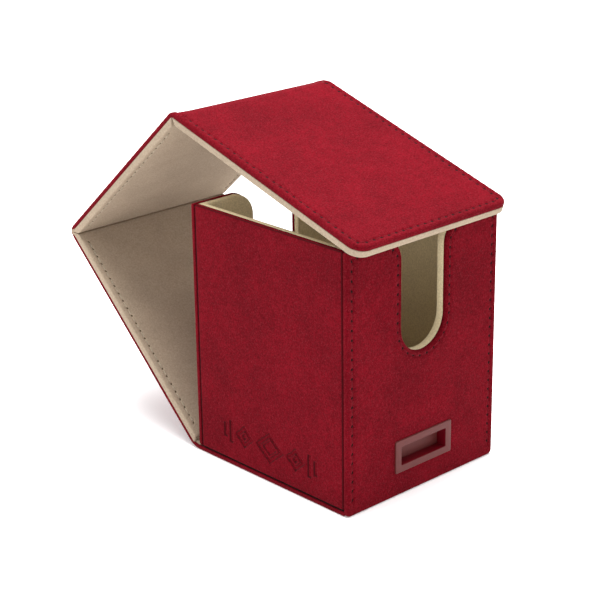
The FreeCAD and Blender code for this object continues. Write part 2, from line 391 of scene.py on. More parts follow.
def relief_cover(name, plane, outline, rim, material, patch, relief, grid=0.4):
    """Cover with a pressed pattern: patch is (left, right, low, high), relief(x, s) its height."""
    points, count = cover_rings(plane, outline, rim, straight, None, 0.0)
    faces = stack_faces(len(rim), count)
    faces.append(tuple(range(count)))
    left, right, low, high = patch
    columns = round((right - left) / grid)
    rows = round((high - low) / grid)
    first = len(points)
    thickness = rim[-1][1]
    for j in range(rows + 1):
        for i in range(columns + 1):
            x = left + (right - left) * i / columns
            s = low + (high - low) * j / rows
            points.append(plane.at(x, s, thickness + relief(x, s)))

    def index(i, j):
        return first + j * (columns + 1) + i

    for j in range(rows):
        for i in range(columns):
            faces.append((index(i, j), index(i + 1, j), index(i + 1, j + 1), index(i, j + 1)))
    edge = ([index(i, 0) for i in range(columns)] + [index(columns, j) for j in range(rows)]
            + [index(i, rows) for i in range(columns, 0, -1)] + [index(0, j) for j in range(rows, 0, -1)])
    rim_edge = list(range((len(rim) - 1) * count, len(rim) * count))
    faces += frame_faces(points, rim_edge, edge)
    return make_piece(name, points, faces, material)


def frame_faces(points, outside, inside):
    """Flat triangles between an outer and an inner loop of point indices."""
    work = bmesh.new()
    made = {}
    for loop in (outside, inside):
        for i in loop:
            made[i] = work.verts.new(points[i])
    edges = []
    for loop in (outside, inside):
        for a, b in zip(loop, loop[1:] + loop[:1]):
            edges.append(work.edges.new((made[a], made[b])))
    back = {v: i for i, v in made.items()}
    bmesh.ops.triangle_fill(work, use_beauty=True, use_dissolve=False, edges=edges)
    triangles = [tuple(back[v] for v in f.verts) for f in work.faces]
    work.free()
    return triangles


class Station:
    """One row of a swept cover: a point on the glue line, the way out and the length so far.

    bend runs from 0 on the flat to 1 in the middle of a fold.
    """

    def __init__(self, point, out, length, bend=0.0):
        self.point, self.out, self.length, self.bend = point, out, length, bend


def sweep_cover(name, stations, rim, half_width, material, depth=SEAM_DEPTH, sag=0.0, pinch=0.0):
    """Cover of full width swept along its stations, with both long edges stitched.

    In a fold it sinks by about sag, least at its left end, and draws in by pinch at both ends.
    """
    top = rim[-1][1]
    section = [(-half_width + inset, inset, h) for inset, h in rim]
    across = 12
    inner = half_width - rim[-1][0]
    section += [(-inner + 2 * inner * k / across, FAR_INSET, top) for k in range(1, across)]
    section += [(half_width - inset, inset, h) for inset, h in reversed(rim)]
    count = len(section)
    points = []
    for station in stations:
        phase = station.length / STITCH_PITCH
        for x, inset, height in section:
            relief = seam_relief(inset, phase, depth) if height > SEAM_ABOVE * top else 0.0
            sunk = sag * station.bend * (1 + 0.25 * x / half_width) * (1 - hill(half_width + x, 4.0))
            drawn = x * (1 - pinch * station.bend ** 2 / half_width)
            points.append(station.point + Vector((drawn, 0, 0)) + station.out * (height + relief - sunk))
    faces = stack_faces(len(stations), count) + end_faces(len(stations), count)
    return make_piece(name, points, faces, material)


def flat_stations(plane, start, end):
    """Stations along a flat panel."""
    steps = round((end - start) / STEP)
    places = [start + (end - start) * k / steps for k in range(steps + 1)]
    return [Station(plane.at(0, s, 0), plane.out, s - start) for s in places]


def tip_cover(name, plane, start, rim, material):
    """Flap's suede: both long edges and the rounded tip, cut straight at the fold.

    Gives the piece and the row of its stitches.
    """
    arc = 10
    side = round((FLAP_LENGTH - start) / STEP)
    tip = round(2 * HALF_WIDTH / STEP)

    def chain(inset):
        half = HALF_WIDTH - inset
        radius = max(TIP_RADIUS - inset, 0.05)
        end = FLAP_LENGTH - inset
        shoulder = end - radius
        quarter = [(math.sin(math.pi / 2 * k / arc), math.cos(math.pi / 2 * k / arc)) for k in range(arc + 1)]
        right = [Vector((half, start + (shoulder - start) * k / side)) for k in range(side)]
        right += [Vector((half - radius + radius * c, shoulder + radius * s)) for s, c in quarter]
        across = [Vector(((half - radius) * (1 - 2 * k / tip), end)) for k in range(1, tip)]
        left = [Vector((-p.x, p.y)) for p in reversed(right)]
        return right + across + left

    phases = [length / STITCH_PITCH for length in path_lengths(chain(STITCH_INSET))]
    count = len(phases)
    top = rim[-1][1]
    points = []
    for inset, height in rim:
        for p, phase in zip(chain(inset), phases):
            relief = seam_relief(inset, phase, SEAM_DEPTH) if height > SEAM_ABOVE * top else 0.0
            points.append(plane.at(p.x, p.y, height + relief))
    faces = stack_faces(len(rim), count, closed=False) + end_faces(len(rim), count)
    rights = [k * count for k in range(len(rim))]
    lefts = [k * count + count - 1 for k in reversed(range(len(rim)))]
    faces.append(tuple(rights + lefts))
    return make_piece(name, points, faces, material), chain(STITCH_INSET)


# ------------------------------------------------------------------ stitches
# One stitch between two holes: share of the way, thickness and height above the row.
THREAD_STAGES = ((0.13, 0.4, -0.52), (0.18, 0.8, -0.42), (0.30, 1.0, -0.26), (0.5, 1.0, -0.22),
                 (0.70, 1.0, -0.26), (0.82, 0.8, -0.42), (0.87, 0.4, -0.52))
LONGEST_STITCH = 1.6 * STITCH_PITCH


def stitches(name, path, out_at, materials, start_phase=0.0):
    """Threads, and dark domes painted as shade in the needle holes, along a path of points on the cover's surface.

    out_at gives the direction out of the cover; a hole lies wherever the phase is whole.
    """
    lengths = path_lengths(path)

    def along(distance):
        for k in range(len(lengths) - 1):
            if lengths[k + 1] >= distance:
                share = (distance - lengths[k]) / max(lengths[k + 1] - lengths[k], 1e-9)
                return path[k].lerp(path[k + 1], share), out_at[k]
        return path[-1], out_at[-1]

    first = math.ceil(start_phase) - start_phase
    holes = []
    distance = first * STITCH_PITCH
    while distance <= lengths[-1]:
        holes.append(along(distance))
        distance += STITCH_PITCH
    points, faces, owners = [], [], []
    for point, out in holes:
        # a dark dome painted as the shade inside the hole
        add_hole_shade(points, faces, point + out * -HOLE_SINK, out, HOLE_RADIUS, HOLE_RISE)
        owners += [1] * (len(faces) - len(owners))
    for (a, out_a), (b, out_b) in zip(holes, holes[1:]):
        if (b - a).length < LONGEST_STITCH:
            add_thread(points, faces, a, b, (out_a + out_b).normalized())
            owners += [0] * (len(faces) - len(owners))
    piece = make_piece(name, points, faces, materials[0], smooth_angle=70)
    piece.data.materials.append(materials[1])
    piece.data.polygons.foreach_set("material_index", owners)
    return piece


def add_hole_shade(points, faces, base, out, radius, rise):
    """Low closed dome, painted shade in the mouth of a needle hole."""
    side = out.orthogonal().normalized()
    other = out.cross(side)
    corners = 8
    first = len(points)
    for size, height in ((1.0, 0.0), (0.6, rise * 0.8)):
        for k in range(corners):
            turn = 2 * math.pi * k / corners
            points.append(base + (side * math.cos(turn) + other * math.sin(turn)) * radius * size
                          + out * height)
    points.append(base + out * rise)
    faces.append(tuple(first + k for k in range(corners)))
    for k in range(corners):
        after = (k + 1) % corners
        faces.append((first + k, first + after, first + corners + after, first + corners + k))
        faces.append((first + corners + k, first + corners + after, first + 2 * corners))


def add_thread(points, faces, start, finish, out):
    """One stitch: a short thread that dips into the hole at each end."""
    run = finish - start
    side = run.cross(out).normalized()
    sides = 6
    first = len(points)
    for share, size, height in THREAD_STAGES:
        for k in range(sides):
            turn = 2 * math.pi * k / sides
            points.append(start + run * share + out * (height + math.sin(turn) * THREAD_RADIUS * size)
                          + side * math.cos(turn) * THREAD_RADIUS * size)
    for j in range(len(THREAD_STAGES) - 1):
        faces += ring_faces(first + j * sides, first + (j + 1) * sides, sides)
    for end in (first, first + (len(THREAD_STAGES) - 1) * sides):
        faces.append(tuple(end + k for k in range(sides)))


# ------------------------------------------------------------------ materials
def new_material(name, roughness, sheen=0.0, sheen_roughness=0.5, sheen_tint=(1, 1, 1), specular=0.5):
    """Material with its node tree emptied down to one shader; uniform values sit on the shader."""
    material = bpy.data.materials.new(name)
    material.use_nodes = True
    shader = material.node_tree.nodes["Principled BSDF"]
    shader.inputs["Roughness"].default_value = roughness
    shader.inputs["Sheen Weight"].default_value = sheen
    shader.inputs["Sheen Roughness"].default_value = sheen_roughness
    shader.inputs["Sheen Tint"].default_value = (*sheen_tint, 1)
    shader.inputs["Specular IOR Level"].default_value = specular
    return material, material.node_tree, shader


def noise(tree, scale, detail, roughness=0.5, distortion=0.0, stretch=(1, 1, 1)):
    """Noise in the object's own metres; 1 / scale is about the size of a feature."""
    place = tree.nodes.new("ShaderNodeTexCoord")
    mapping = tree.nodes.new("ShaderNodeMapping")
    mapping.inputs["Scale"].default_value = stretch
    texture = tree.nodes.new("ShaderNodeTexNoise")
    texture.inputs["Scale"].default_value = scale
    texture.inputs["Detail"].default_value = detail
    texture.inputs["Roughness"].default_value = roughness
    texture.inputs["Distortion"].default_value = distortion
    tree.links.new(place.outputs["Object"], mapping.inputs["Vector"])
    tree.links.new(mapping.outputs["Vector"], texture.inputs["Vector"])
    return texture.outputs["Fac"]


def ramp(tree, value, stops):
    """Colour ramp through (position, colour) stops."""
    node = tree.nodes.new("ShaderNodeValToRGB")
    elements = node.color_ramp.elements
    while len(elements) < len(stops):
        elements.new(0.5)
    for element, (position, colour) in zip(elements, stops):
        element.position = position
        element.color = (*colour, 1)
    tree.links.new(value, node.inputs["Fac"])
    return node.outputs["Color"]


def mix(tree, first, second, factor, mode="MIX"):
    """Mix two colours; factor is a number or another node's output."""
    node = tree.nodes.new("ShaderNodeMix")
    node.data_type = "RGBA"
    node.blend_type = mode
    if isinstance(factor, (int, float)):
        node.inputs["Factor"].default_value = factor
    else:
        tree.links.new(factor, node.inputs["Factor"])
    tree.links.new(first, node.inputs["A"])
    tree.links.new(second, node.inputs["B"])
    return node.outputs["Result"]


def constant(tree, colour):
    node = tree.nodes.new("ShaderNodeRGB")
    node.outputs["Color"].default_value = (*colour, 1)
    return node.outputs["Color"]


def bump(tree, shader, layers):
    """Chain of bumps as (height output, strength, distance in metres)."""
    last = None
    for height, strength, distance in layers:
        node = tree.nodes.new("ShaderNodeBump")
        node.inputs["Strength"].default_value = strength
        node.inputs["Distance"].default_value = distance
        tree.links.new(height, node.inputs["Height"])
        if last:
            tree.links.new(last, node.inputs["Normal"])
        last = node.outputs["Normal"]
    tree.links.new(last, shader.inputs["Normal"])


def scaled(colour, factor):
    return tuple(c * factor for c in colour)


def suede_material():
    """Brushed microfibre: soft patches where the nap lies differently, over fine fibres."""
    red = (0.113, 0.0014, 0.0052)
    frosted = (0.215, 0.027, 0.037)
    material, tree, shader = new_material(
        "suede_red", 0.9, sheen=0.12, sheen_roughness=0.5, sheen_tint=(1.0, 0.08, 0.12), specular=0.04)
    patches = noise(tree, 48, 4, 0.55, 0.5)
    strokes = noise(tree, 260, 3, 0.6, 0.4)
    fibres = noise(tree, 1500, 3, 0.7)
    base = ramp(tree, patches, [(0.30, scaled(red, 0.84)), (0.50, red), (0.72, scaled(red, 1.18))])
    nap = ramp(tree, strokes, [(0.30, (0.90, 0.86, 0.88)), (0.70, (1.10, 1.20, 1.16))])
    hairs = ramp(tree, fibres, [(0.30, (0.62, 0.40, 0.50)), (0.70, (1.38, 1.75, 1.60))])
    colour = mix(tree, mix(tree, base, nap, 1.0, "MULTIPLY"), hairs, 1.0, "MULTIPLY")
    tips = ramp(tree, noise(tree, 2300, 2, 0.6), [(0.52, (0, 0, 0)), (0.80, scaled((1, 1, 1), 0.55))])
    colour = mix(tree, colour, constant(tree, frosted), tips)
    tree.links.new(colour, shader.inputs["Base Color"])
    bump(tree, shader, [(patches, 0.2, 0.0010), (strokes, 0.3, 0.00022), (fibres, 0.6, 0.00018)])
    return material


def lining_material(name, sand):
    """Short-pile pale lining, a little uneven in tone."""
    material, tree, shader = new_material(name, 0.95, specular=0.08)
    patches = noise(tree, 90, 3)
    pile = noise(tree, 1500, 3, 0.6)
    base = ramp(tree, patches, [(0.3, scaled(sand, 0.95)), (0.7, scaled(sand, 1.05))])
    hairs = ramp(tree, pile, [(0.25, (0.80, 0.79, 0.77)), (0.75, (1.18, 1.19, 1.20))])
    tree.links.new(mix(tree, base, hairs, 1.0, "MULTIPLY"), shader.inputs["Base Color"])
    bump(tree, shader, [(patches, 0.15, 0.0008), (pile, 0.4, 0.00014)])
    return material


def plastic_material(name, colour, roughness, specular):
    """Satin moulded plastic with a fine moulded grain."""
    material, tree, shader = new_material(name, roughness, specular=specular)
    cloud = noise(tree, 300, 2)
    grain = noise(tree, 5200, 2)
    tint = ramp(tree, cloud, [(0.3, scaled(colour, 0.93)), (0.7, scaled(colour, 1.06))])
    tree.links.new(tint, shader.inputs["Base Color"])
    bump(tree, shader, [(grain, 0.12, 0.00005)])
    return material


def board_material():
    """Dark dyed fibreboard, hidden inside the covers."""
    material, tree, shader = new_material("fibreboard", 0.85)
    flecks = noise(tree, 900, 4)
    colour = ramp(tree, flecks, [(0.35, (0.022, 0.006, 0.006)), (0.65, (0.05, 0.014, 0.013))])
    tree.links.new(colour, shader.inputs["Base Color"])
    bump(tree, shader, [(flecks, 0.3, 0.0002)])
    return material


def thread_material(name, colour):
    """Twisted sewing thread; the same make also gives the suede of painted shade and the dark domes painted as
    shade in needle holes.
    """
    material, tree, shader = new_material(name, 0.8, specular=0.1)
    twist = noise(tree, 3200, 2)
    tree.links.new(ramp(tree, twist, [(0.35, scaled(colour, 0.6)), (0.65, scaled(colour, 1.2))]),
                   shader.inputs["Base Color"])
    bump(tree, shader, [(twist, 0.5, 0.0001)])
    return material


def steel_material():
    """Plated steel with fine brushing."""
    material, tree, shader = new_material("plated_steel", 0.35)
    shader.inputs["Metallic"].default_value = 1.0
    lines = noise(tree, 2600, 2, stretch=(0.05, 1, 1))
    tree.links.new(ramp(tree, lines, [(0.3, (0.42, 0.42, 0.43)), (0.7, (0.62, 0.62, 0.64))]),
                   shader.inputs["Base Color"])
    bump(tree, shader, [(lines, 0.15, 0.00004)])
    return material


SUEDE = suede_material()
# dark suede painted on as shade, in the ornament's creases and at the bottom of the open side seams
SUEDE_PAINTED_SHADE = thread_material("suede_painted_shade", (0.062, 0.0012, 0.0035))
LINING = lining_material("lining_sand", (0.368, 0.288, 0.212))
# the lid's lining made about 1.8 times as light: painted light that brightens the inside of the tray
TRAY_LINING_PAINTED_LIGHT = lining_material("lining_sand_tray_painted_light", (0.68, 0.57, 0.365))
BEZEL = plastic_material("bezel_plastic", (0.105, 0.018, 0.016), 0.5, 0.28)
# the latch sleeve's plastic with the suede's red reflection painted into its colour
SLEEVE_RED_REFLECTION = plastic_material("sleeve_plastic_red_reflection", (0.12, 0.001, 0.006), 0.35, 0.2)
BOARD = board_material()
STEEL = steel_material()
RED_THREAD = thread_material("thread_red", (0.135, 0.004, 0.009))
# near-black domes painted as the shade inside the needle holes of the red and of the sand stitches
RED_HOLE_SHADE = thread_material("hole_shade_red", (0.010, 0.001, 0.002))
SAND_THREAD = thread_material("thread_sand", (0.42, 0.35, 0.26))
SAND_HOLE_SHADE = thread_material("hole_shade_sand", (0.11, 0.08, 0.048))
RED_STITCH = (RED_THREAD, RED_HOLE_SHADE)
SAND_STITCH = (SAND_THREAD, SAND_HOLE_SHADE)


def finish_piece(piece, body, slot, *nodes):
    """Attach a piece to the body it rides on and hide the CAD nodes it stands for; slot, the name of its finish,
    is not used.
    """
    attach(piece, body)
    if nodes:
        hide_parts(*nodes)
    return piece


# ------------------------------------------------------------------ tray
def wall_stitched(low):
    """Weight of the stitches on a wall: everywhere along its outline but the foot."""
    def weight(x, s):
        return 0.0 if s < low + STITCH_INSET + 1.2 else 1.0
    return weight


def wall_stitches(name, plane, outline, weight):
    """Stitches up one side of a wall, round its notch and down the other side."""
    ring = seam_ring(outline, STITCH_INSET, near_notch)
    lengths = path_lengths(ring)
    stitched = [i for i, p in enumerate(ring) if weight(p.x, p.y) > 0]
    first, last = stitched[0], stitched[-1]
    path = [plane.at(p.x, p.y, OUTER_PLY) for p in ring[first:last + 1]]
    piece = stitches(name, path, [plane.out] * len(path), RED_STITCH,
                     start_phase=lengths[first] / STITCH_PITCH)
    finish_piece(piece, "tray", "suede")


def notched_wall(name, out, low):
    """Suede cover of the front or back wall, with its stitches."""
    plane = wall_plane(out, HALF_DEPTH - OUTER_PLY)
    outline = notched_outline(HALF_WIDTH, low, HEIGHT, FOOT_CORNER, TOP_CORNER)
    weight = wall_stitched(low)
    piece = board_cover(name + "_cover", plane, outline, stitched_rim(OUTER_PLY, COVER_ROUND),
                        SUEDE, stitched=weight, tighten=near_notch)
    finish_piece(piece, "tray", "suede", name + "_suede")
    wall_stitches(name + "_stitches", plane, outline, weight)
    return piece


def cut_recess(piece):
    """Open the front cover behind the bezel."""
    wide = RECESS[0] / 2 + SLEEVE_WALL
    high = RECESS[1] / 2 + SLEEVE_WALL
    deep = 8
    cutter_mesh = bpy.data.meshes.new("recess_cutter")
    work = bmesh.new()
    bmesh.ops.create_cube(work, size=1.0)
    work.to_mesh(cutter_mesh)
    work.free()
    cutter = bpy.data.objects.new("recess_cutter", cutter_mesh)
    bpy.context.scene.collection.objects.link(cutter)
    cutter.matrix_world = (Matrix.Translation(Vector((0, -HALF_DEPTH, LATCH_HEIGHT)) * MM)
                           @ Matrix.Diagonal((2 * wide * MM, deep * MM, 2 * high * MM, 1)))
    bpy.context.view_layer.update()
    modifier = piece.modifiers.new("recess", "BOOLEAN")
    modifier.operation = "DIFFERENCE"
    modifier.solver = "EXACT"
    modifier.object = cutter
    graph = bpy.context.evaluated_depsgraph_get()
    mesh = bpy.data.meshes.new_from_object(piece.evaluated_get(graph))
    piece.modifiers.clear()
    piece.data = mesh
    bpy.data.objects.remove(cutter)


def pressed_motif(x, s):
    """Height of the plain pressed ornament: banded lozenges with upright bars beside them."""
    middle = (MOTIF_PATCH[2] + MOTIF_PATCH[3]) / 2
    distance = math.inf
    for centre, wide, high in LOZENGES:
        slope = math.hypot(wide, high) / (wide * high)
        reach = (abs(x - centre) / wide + abs(s - middle) / high - 1) / slope
        band = abs(reach + LOZENGE_BAND / 2) - LOZENGE_BAND / 2
        core = reach + LOZENGE_CORE
        distance = min(distance, band, core)
    for centre, high in BARS:
        bar = max(abs(abs(x) - centre) - BAR_HALF, abs(s - middle) - high)
        distance = min(distance, bar)
    share = min(max(0.5 - distance / (2 * MOTIF_SOFTNESS), 0.0), 1.0)
    return -MOTIF_DEPTH * share * share * (3 - 2 * share)


def paint_crease_shade(piece, plane):
    """Paint shade, as a darker suede, on steep places just below the surface.

    These are the sides of the pressed ornament and the cover's own rolled edge along its seam.
    """
    piece.data.materials.append(SUEDE_PAINTED_SHADE)
    level_from = 0.80         # cosine of the tilt at which a face no longer counts as steep
    shallowest = 0.08
    for face in piece.data.polygons:
        depth = OUTER_PLY - (face.center / MM - plane.origin).dot(plane.out)
        steep = face.normal.dot(plane.out) < level_from
        if steep and shallowest < depth < MOTIF_DEPTH:
            # painted shade of the crease
            face.material_index = 1


def side_wall(name, out):
    """Suede cover of a side, set in between the front, back and floor, with its motif."""
    seam = HALF_DEPTH - OUTER_PLY - SIDE_SEAM
    plane = wall_plane(out, HALF_WIDTH - OUTER_PLY)
    outline = box_outline(-seam, seam, OUTER_PLY + SIDE_SEAM, HEIGHT, low_radius=0.6, high_radius=0.8)
    piece = relief_cover(name + "_cover", plane, outline, plain_rim(OUTER_PLY, SIDE_ROUND), SUEDE,
                         MOTIF_PATCH, pressed_motif)
    paint_crease_shade(piece, plane)
    finish_piece(piece, "tray", "suede", name + "_suede")


def shade_seam_side(piece):
    """The side of an inner cover that shows at the bottom of an open seam is turned-in suede, painted dark as the
    shade down in the seam.
    """
    piece.data.materials.append(SUEDE_PAINTED_SHADE)
    strip = 0.7
    least_tilt = 0.3
    for face in piece.data.polygons:
        near_seam = abs(face.center.x) / MM > HALF_WIDTH - OUTER_PLY - strip
        if near_seam and abs(face.normal.x) > least_tilt:
            # turned-in suede with painted shade
            face.material_index = 1


def tray_lining(name, plane, outline, ply, rounding=LINING_ROUND):
    """Pale inner cover of one wall or of the floor, in the tray's lining, which is painted lighter to stand for
    light inside the tray.
    """
    piece = board_cover(name + "_inner_cover", plane, outline, plain_rim(ply, rounding), TRAY_LINING_PAINTED_LIGHT)
    shade_seam_side(piece)
    finish_piece(piece, "tray", "lining", name + "_lining")


def tray_linings():
    """Inner covers of the walls, the sides between front and back, and the floor between all four."""
    half = HALF_WIDTH - OUTER_PLY
    deep = HALF_DEPTH - OUTER_PLY
    for name, out, ply in (("front", FRONT, FRONT_INNER_PLY), ("back", BACK, INNER_PLY)):
        outline = notched_outline(half, FLOOR_TOP, HEIGHT - 0.3, low_radius=0.5, high_radius=0.8)
        tray_lining(name, wall_plane(-out, -deep), outline, ply)
    for name, out in (("left", LEFT), ("right", RIGHT)):
        plane = wall_plane(-out, -half)
        ends = sorted((plane.across.y * -(deep - FRONT_INNER_PLY), plane.across.y * (deep - INNER_PLY)))
        outline = box_outline(ends[0], ends[1], FLOOR_TOP, HEIGHT, low_radius=0.5, high_radius=0.5)
        tray_lining(name, plane, outline, INNER_PLY)
    plane = Plane(Vector((0, 0, OUTER_PLY)), Vector((1, 0, 0)), Vector((0, 1, 0)), Vector((0, 0, 1)))
    outline = box_outline(-half, half, -deep, deep, low_radius=0.4, high_radius=0.4)
    tray_lining("floor", plane, outline, INNER_PLY, FLOOR_LINING_ROUND)


def floor_cover():
    """Suede under the tray, flush with the front cover and running on to the hinge."""
    plane = Plane(Vector((0, 0, OUTER_PLY)), Vector((1, 0, 0)), Vector((0, -1, 0)), Vector((0, 0, -1)))
    low = -HALF_DEPTH
    high = HALF_DEPTH - OUTER_PLY
    outline = box_outline(-HALF_WIDTH, HALF_WIDTH, low, high, low_radius=0.4, high_radius=0.4)
    piece = board_cover("floor_cover", plane, outline, plain_rim(OUTER_PLY, FLOOR_ROUND), SUEDE)
    finish_piece(piece, "tray", "suede", "floor_suede")


def latch_bezel():
    """Moulded frame with crisp edges and a sleeve down to the keeper, the sleeve's walls painted deep red as the
    suede's reflection on them.
    """
    plane = Plane(Vector((0, -HALF_DEPTH, LATCH_HEIGHT)), Vector((1, 0, 0)), Vector((0, 0, 1)), FRONT)
    wide = (BEZEL_HIGH.x - BEZEL_LOW.x) / 2
    high = (BEZEL_HIGH.z - BEZEL_LOW.z) / 2
    long_step = 50.0      # longer than any side, so a side is one straight run
    outer = box_outline(-wide, wide, -high, high, 0.6, 0.6, long_step)
    inner = box_outline(-RECESS[0] / 2, RECESS[0] / 2, -RECESS[1] / 2, RECESS[1] / 2, 0.45, 0.45, long_step)
    edge = 0.16
    edge_steps = 4
    flange_back = -0.2
    rings = [(outer, 0, flange_back), (outer, 0, BEZEL_PROUD - edge)]
    for k in range(1, edge_steps + 1):
        turn = math.pi / 2 * k / edge_steps
        rings.append((outer, edge * (1 - math.cos(turn)), BEZEL_PROUD - edge + edge * math.sin(turn)))
    for k in range(edge_steps + 1):
        turn = math.pi / 2 * k / edge_steps
        rings.append((inner, -edge * (1 - math.sin(turn)), BEZEL_PROUD - edge + edge * math.cos(turn)))
    sleeve_start = len(rings) - 1
    sleeve = -SLEEVE_WALL + 0.05
    rings += [(inner, 0, -BEZEL_DEPTH), (inner, sleeve, -BEZEL_DEPTH), (inner, sleeve, flange_back)]
    points = []
    for outline, inset, height in rings:
        points += [plane.at(p.x, p.y, height) for p in outline.ring(inset)]
    count = len(outer.ring(0))
    faces = []
    for k in range(len(rings)):
        faces += ring_faces(k * count, ((k + 1) % len(rings)) * count, count)
    piece = make_piece("latch_frame", points, faces, BEZEL, smooth_angle=35)
    # the sleeve's walls carry the painted red reflection of the suede
    piece.data.materials.append(SLEEVE_RED_REFLECTION)
    for index in range(sleeve_start * count, (sleeve_start + 1) * count):
        piece.data.polygons[index].material_index = 1
    finish_piece(piece, "tray", "bezel", "latch_bezel")


# ------------------------------------------------------------------ lid
BACK_OUT = lid_plane(TRAY_HINGE, BACK_ANGLE, False)
TOP_OUT = lid_plane(REAR_FOLD, TOP_ANGLE, False)
FLAP_OUT = lid_plane(FRONT_FOLD, FLAP_ANGLE, False)
LID_RIM = stitched_rim(OUTER_PLY, COVER_ROUND)


def flat_panel(name, plane, start, end, body):
    """Suede of the back or top panel between its folds, with stitches along both sides."""
    rows = flat_stations(plane, start, end)
    piece = sweep_cover(name + "_cover", rows, LID_RIM, HALF_WIDTH, SUEDE)
    finish_piece(piece, body, "suede", name + "_suede")
    for side, x in (("left", -1), ("right", 1)):
        path = [r.point + r.out * OUTER_PLY + Vector((x * (HALF_WIDTH - STITCH_INSET), 0, 0))
                for r in rows]
        thread = stitches(name + "_stitches_" + side, path, [r.out for r in rows], RED_STITCH)
        finish_piece(thread, body, "suede")


def flap_panel():
    """Suede of the front flap, with one row of stitches round its tip."""
    flap, seam = tip_cover("lid_flap_cover", FLAP_OUT, FOLD_CLEAR, LID_RIM, SUEDE)
    finish_piece(flap, "front_flap", "suede", "lid_flap_suede")
    path = [FLAP_OUT.at(p.x, p.y, OUTER_PLY) for p in seam]
    thread = stitches("lid_flap_stitches", path, [FLAP_OUT.out] * len(path), RED_STITCH)
    finish_piece(thread, "front_flap", "suede")


def runs_of(ring, stitched):
    """Runs of neighbouring points, by index, that are stitched."""
    runs = []
    for i, p in enumerate(ring):
        if stitched(p.x, p.y) > 0:
            if runs and runs[-1][-1] == i - 1:
                runs[-1].append(i)
            else:
                runs.append([i])
    return runs


def lid_lining(name, plane, low, high, slopes, tip_radius, body, free_end=False):
    """Pale inside of one panel, its ends mitred by the slopes and its free edges stitched."""
    outline = box_outline(-HALF_WIDTH, HALF_WIDTH, low, high, 0.5, tip_radius)
    end_zone = STITCH_INSET + 1.5

    def mitred(s, height):
        share = (s - low) / (high - low)
        return s + height * (slopes[0] * (1 - share) - slopes[1] * share)

    def stitched(x, s):
        near_low = s < low + end_zone
        near_high = s > high - end_zone and not free_end
        return 0.0 if near_low or near_high else 1.0

    piece = board_cover(name + "_inner_cover", plane, outline, stitched_rim(LID_LINING, LINING_ROUND),
                        LINING, warp=mitred, stitched=stitched, depth=LINING_SEAM_DEPTH)
    finish_piece(piece, body, "lining", name + "_lining")
    ring = outline.ring(STITCH_INSET)
    surface = [(p.x, mitred(p.y, LID_LINING)) for p in ring]
    lengths = path_lengths([plane.at(x, s, LID_LINING) for x, s in surface])
    for number, run in enumerate(runs_of(ring, stitched)):
        path = [plane.at(*surface[i], LID_LINING + LINING_STITCH_RAISE) for i in run]
        thread = stitches(f"{name}_inner_stitches_{number}", path, [plane.out] * len(path), SAND_STITCH,
                          start_phase=lengths[run[0]] / STITCH_PITCH)
        finish_piece(thread, body, "lining")


def lid_linings():
    """The linings of two panels meet in a mitre where the panels close on each other."""
    rear = 1 / math.tan(math.radians((180 - JOINT["rear_fold"]["range_deg"][1]) / 2))
    front = 1.0
    foot = 0.6
    lid_lining("lid_back", lid_plane(TRAY_HINGE, BACK_ANGLE, True), 0.2, BACK_LENGTH - MITRE_GAP,
               (foot, rear), 0.5, "back_panel")
    lid_lining("lid_top", lid_plane(REAR_FOLD, TOP_ANGLE, True), MITRE_GAP, TOP_LENGTH - MITRE_GAP,
               (rear, front), 0.5, "top_panel")
    lid_lining("lid_flap", lid_plane(FRONT_FOLD, FLAP_ANGLE, True), MITRE_GAP, FLAP_LENGTH,
               (front, 0.0), TIP_RADIUS, "front_flap", free_end=True)


# ------------------------------------------------------------------ folds
def turn_sign(before, after, axis):
    return 1 if before.cross(after).dot(axis) > 0 else -1


def fold_stations(start_plane, fold, end_plane, radius, clear):
    """Stations over a fold, round an arc that touches both panels' glue lines.

    clear is how far the fabric reaches before and after the fold line.
    """
    before = start_plane.along
    after = end_plane.along
    turn = before.angle(after)
    axis = before.cross(start_plane.out)
    tangent = radius * math.tan(turn / 2)
    stations = []
    flat_steps = 5
    arc_steps = 12
    for k in range(flat_steps):
        s = -clear[0] + (clear[0] - tangent) * k / flat_steps
        stations.append((fold + before * s, start_plane.out))
    centre = fold - before * tangent - start_plane.out * radius
    for k in range(arc_steps + 1):
        share = k / arc_steps
        out = start_plane.out.copy()
        out.rotate(Matrix.Rotation(turn_sign(before, after, axis) * turn * share, 3, axis))
        stations.append((centre + out * radius, out))
    for k in range(1, flat_steps + 1):
        s = tangent + (clear[1] - tangent) * k / flat_steps
        stations.append((fold + after * s, end_plane.out))
    lengths = path_lengths([p for p, _ in stations])
    total = lengths[-1]
    return [Station(p, out, length, math.sin(math.pi * length / total) ** 2)
            for (p, out), length in zip(stations, lengths)]


def fold_fabric(name, first, second, radius, clear, sag=0.0, pinch=0.0, backing_inset=0.7):
    """Suede over one fold and the lining inside it, shaped round the fold in the rest pose."""
    rows = fold_stations(first, joint_point(name), second, radius, clear)
    fabric = sweep_cover(name + "_fabric", rows, LID_RIM, HALF_WIDTH, SUEDE, sag=sag, pinch=pinch)
    backing_rim = [(0.0, -BACKING_SINK)] + plain_rim(BACKING_HEIGHT, BACKING_ROUND)[3:]
    backing = sweep_cover(name + "_backing", rows[2:-2], backing_rim, HALF_WIDTH - backing_inset,
                          LINING, 0.0, sag)
    for strip, slot in ((fabric, "suede"), (backing, "lining")):
        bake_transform(strip)
    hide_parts(name)


